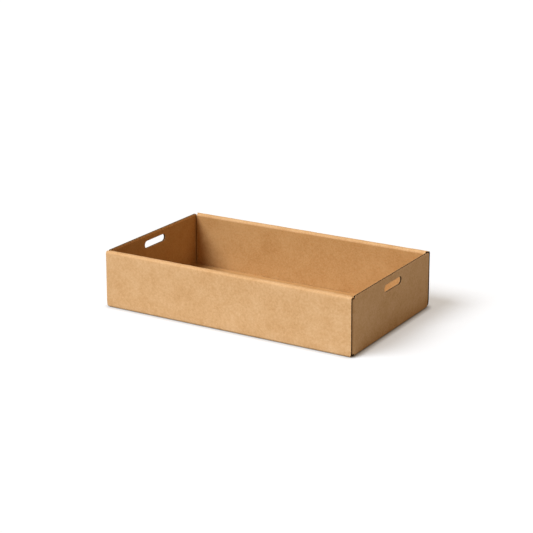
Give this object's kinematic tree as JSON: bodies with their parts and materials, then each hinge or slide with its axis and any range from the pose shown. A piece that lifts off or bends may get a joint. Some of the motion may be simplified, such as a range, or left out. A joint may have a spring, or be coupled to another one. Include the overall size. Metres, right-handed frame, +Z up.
{
  "type": "corrugated cardboard tray",
  "caption": "Open shallow tray folded from one sheet of corrugated board, with rolled-over double long sides and a hand slot in each end wall.",
  "frame": {"origin": "middle of the underside, on the surface that the tray stands on", "axes": "+X along the length, towards one end wall; +Y across the width, towards one long side; +Z up, out of the open top"},
  "size_m": [0.5, 0.3, 0.105],
  "materials": {
    "kraft_board": "matte, plain kraft liner"
  },
  "bodies": {
    "root": {"tray": "kraft_board"}
  },
  "joints": []
}
